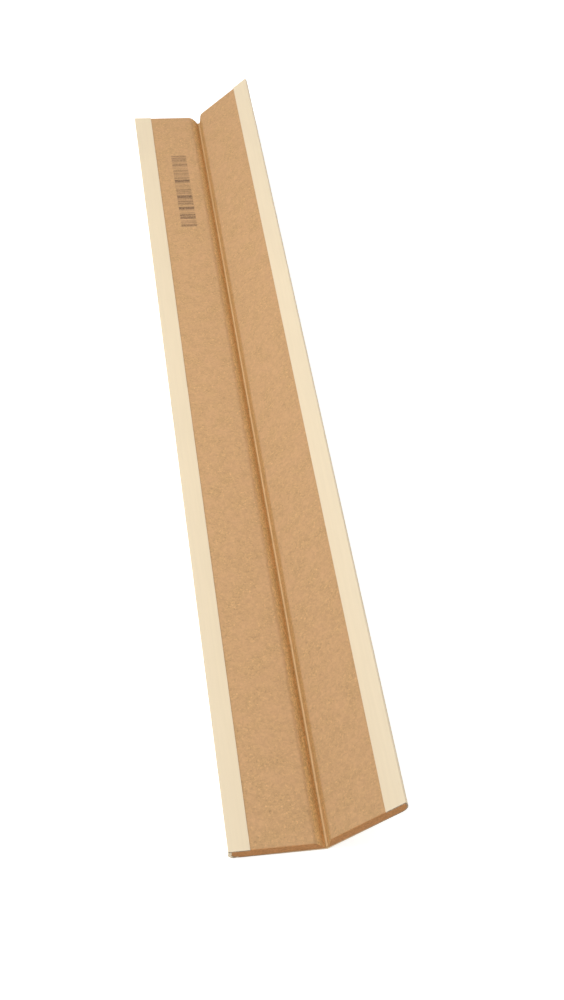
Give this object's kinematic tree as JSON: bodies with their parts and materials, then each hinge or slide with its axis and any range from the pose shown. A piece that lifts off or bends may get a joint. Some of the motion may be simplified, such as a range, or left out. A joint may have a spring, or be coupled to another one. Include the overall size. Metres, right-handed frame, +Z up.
{
  "type": "folding corner trim",
  "caption": "Slim folding corner trim: foil-wrapped MDF flaps hinged by the foil along a V-groove, lying groove side up with the right flap raised.",
  "frame": {"origin": "underside of the crease, where the two flaps meet on the floor, halfway along the strip", "axes": "+Y along the strip towards its printed end, +Z up out of the groove, -X towards the flap that lies flat"},
  "size_m": [0.0414, 0.3, 0.019],
  "materials": {
    "mdf": "matte",
    "decor_foil": "satin"
  },
  "bodies": {
    "left_flap": {"mdf_flap_left": "mdf", "foil_wrap_left": "decor_foil"},
    "right_flap": {"mdf_flap_right": "mdf", "foil_wrap_right": "decor_foil"}
  },
  "joints": [
    {"name": "fold", "type": "hinge", "parent": "left_flap", "child": "right_flap", "pos_m": [0, 0, 0.0001], "axis": [0, -1, 0], "range_deg": [-42, 48]}
  ]
}
